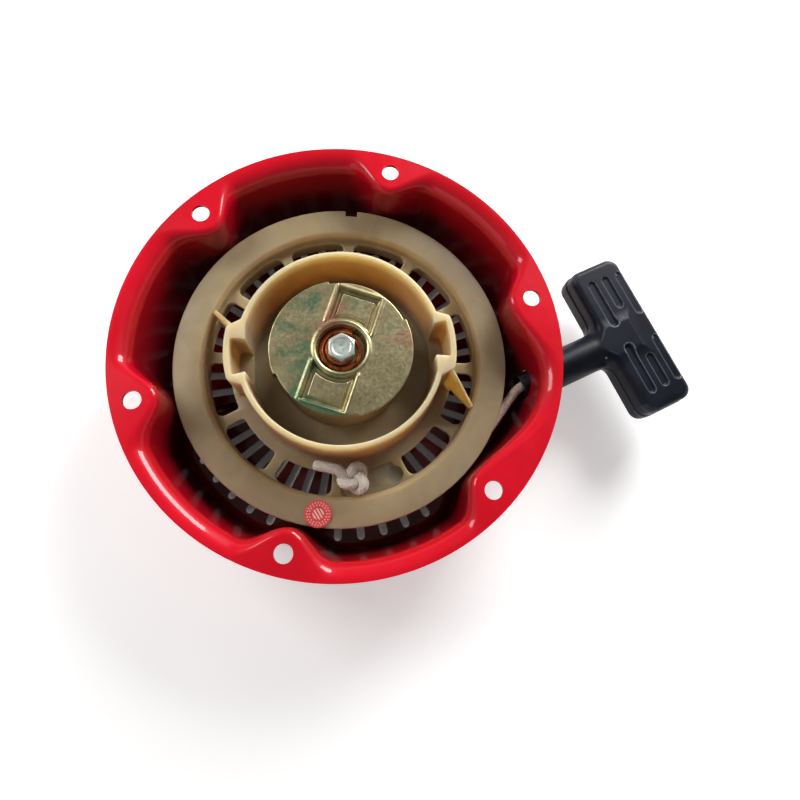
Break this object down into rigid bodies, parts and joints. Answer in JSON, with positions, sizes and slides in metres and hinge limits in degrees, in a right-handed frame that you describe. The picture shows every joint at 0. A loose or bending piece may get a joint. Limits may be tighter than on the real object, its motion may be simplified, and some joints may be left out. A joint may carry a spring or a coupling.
{
  "type": "recoil starter",
  "caption": "Pull-rope starter: pressed steel bowl with a sprung rope reel, swing-out pawls under a friction plate, and a T handle on a braided rope.",
  "frame": {"origin": "centre of the housing's back, on its outer flat face, on the reel's axis", "axes": "+Z along the reel's axis out of the open side towards the engine; +X towards the side the rope leaves"},
  "size_m": [0.3055, 0.227, 0.058],
  "materials": {
    "red_enamel": "glossy stove enamel on pressed steel",
    "reel_nylon": "moulded beige nylon, satin",
    "yellow_zinc": "zinc plated, yellow chromate with green and pink tints",
    "post_steel": "turned steel",
    "guide_steel": "turned steel, blackened",
    "bolt_zinc": "zinc plated, blue chromate",
    "pawl_steel": "case hardened steel",
    "spring_steel": "oiled spring steel",
    "friction_copper": "copper-coloured spring wire",
    "rope_braid": "braided polyester, cream with a pink cast",
    "handle_rubber": "black moulded grip, satin",
    "sticker_red": "printed vinyl"
  },
  "bodies": {
    "root": {"housing": "red_enamel", "centre_post": "post_steel", "rope_guide": "guide_steel", "return_spring": "spring_steel", "rope_lead": "rope_braid", "friction_spring": "friction_copper", "centre_bolt": "bolt_zinc", "thrust_washer": "post_steel"},
    "reel": {"reel": "reel_nylon", "rope_coil": "rope_braid", "rope_knot": "rope_braid", "inspection_sticker": "sticker_red", "pawl_spring_1": "spring_steel", "pawl_spring_2": "spring_steel"},
    "friction_plate": {"friction_plate": "yellow_zinc"},
    "pawl_1": {"pawl_1": "pawl_steel"},
    "pawl_2": {"pawl_2": "pawl_steel"},
    "handle": {"handle_grip": "handle_rubber", "handle_rope": "rope_braid", "knot_washer": "post_steel"}
  },
  "joints": [
    {"name": "reel_spin", "type": "hinge", "parent": "root", "child": "reel", "pos_m": [0, 0, 0], "axis": [0, 0, 1], "range_deg": [0, 900], "stiffness_Nm_per_rad": 0.05, "springref_deg": -360.96},
    {"name": "handle_pull", "type": "slide", "parent": "root", "child": "handle", "axis": [0.91, 0.4147, 0], "range_m": [0, 1.24]},
    {"name": "plate_lag", "type": "hinge", "parent": "reel", "child": "friction_plate", "pos_m": [0, 0, 0], "axis": [0, 0, 1], "range_deg": [-17.5, 0]},
    {"name": "pawl_1_swing", "type": "hinge", "parent": "reel", "child": "pawl_1", "pos_m": [0.02255, -0.00821, 0.0466], "axis": [0, 0, 1], "range_deg": [-35, 0], "stiffness_Nm_per_rad": 0.01, "springref_deg": 17.19},
    {"name": "pawl_2_swing", "type": "hinge", "parent": "reel", "child": "pawl_2", "pos_m": [-0.02255, 0.00821, 0.0466], "axis": [0, 0, 1], "range_deg": [-35, 0], "stiffness_Nm_per_rad": 0.01, "springref_deg": 17.19}
  ],
  "couplings": [
    {"joint": "handle_pull", "follows": "reel_spin", "m_per_rad": 0.0785},
    {"joint": "pawl_1_swing", "follows": "plate_lag", "ratio": 2},
    {"joint": "pawl_2_swing", "follows": "plate_lag", "ratio": 2}
  ]
}
